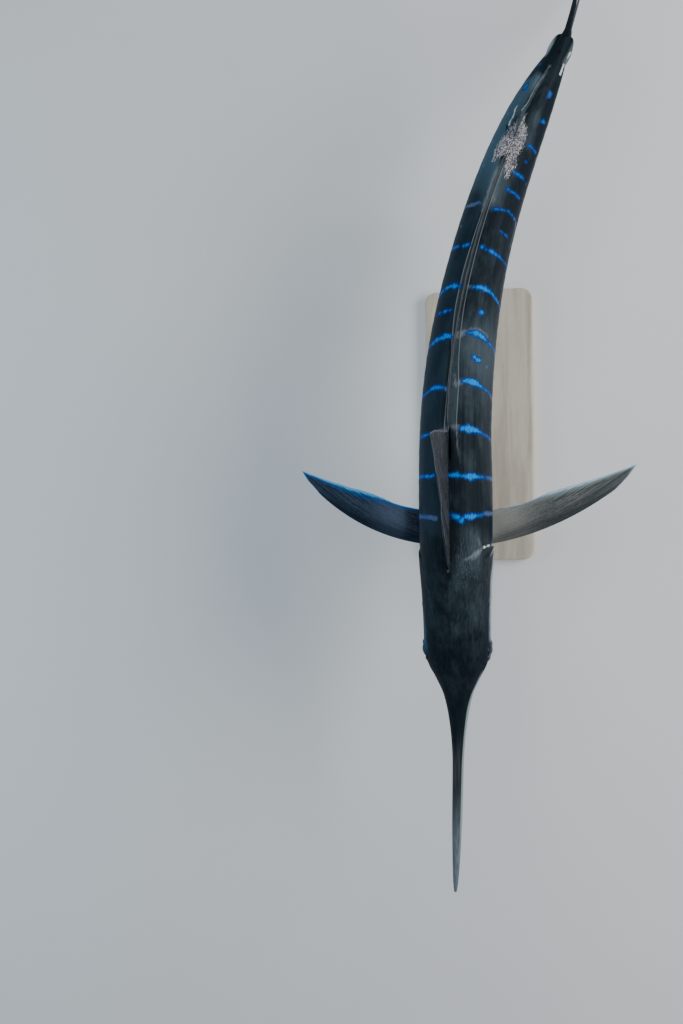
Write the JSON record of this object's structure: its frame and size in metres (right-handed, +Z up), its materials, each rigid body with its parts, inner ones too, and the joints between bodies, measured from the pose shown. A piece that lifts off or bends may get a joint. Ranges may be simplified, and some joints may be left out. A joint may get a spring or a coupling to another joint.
{
  "type": "striped marlin display model",
  "caption": "Life-size still model of a striped marlin swimming with its tail bent aside, held on short rods over a flat display base.",
  "frame": {"origin": "centre of the underside of the stand's base", "axes": "+Z up; the fish swims towards -X, with its own left side towards -Y"},
  "size_m": [2.7189, 1.0042, 0.8277],
  "materials": {
    "fish_skin": "wet satin skin",
    "bill_skin": "satin",
    "fin_membrane": "satin",
    "eye": "polished",
    "stand_wood": "satin",
    "stand_steel": "brushed",
    "stand_pad": "matte"
  },
  "bodies": {
    "root": {"bill": "bill_skin", "head": "fish_skin", "lower_jaw": "fish_skin", "gill_cover_left": "fish_skin", "gill_cover_right": "fish_skin", "eye_left": "eye", "eye_right": "eye", "torso_front": "fish_skin", "torso_middle": "fish_skin", "torso_rear": "fish_skin", "tail_stem": "fish_skin", "dorsal_fin_lobe": "fin_membrane", "dorsal_fin_folded": "fin_membrane", "second_dorsal_fin": "fin_membrane", "first_anal_fin": "fin_membrane", "second_anal_fin": "fin_membrane", "pectoral_fin_left": "fin_membrane", "pectoral_fin_right": "fin_membrane", "pelvic_fin_left": "fin_membrane", "pelvic_fin_right": "fin_membrane", "tail_fin_upper": "fin_membrane", "tail_fin_lower": "fin_membrane", "stand_base": "stand_wood", "stand_collar_front": "stand_steel", "stand_collar_rear": "stand_steel", "stand_rod_front": "stand_steel", "stand_rod_rear": "stand_steel", "stand_saddle_front": "stand_pad", "stand_saddle_rear": "stand_pad"}
  },
  "joints": []
}
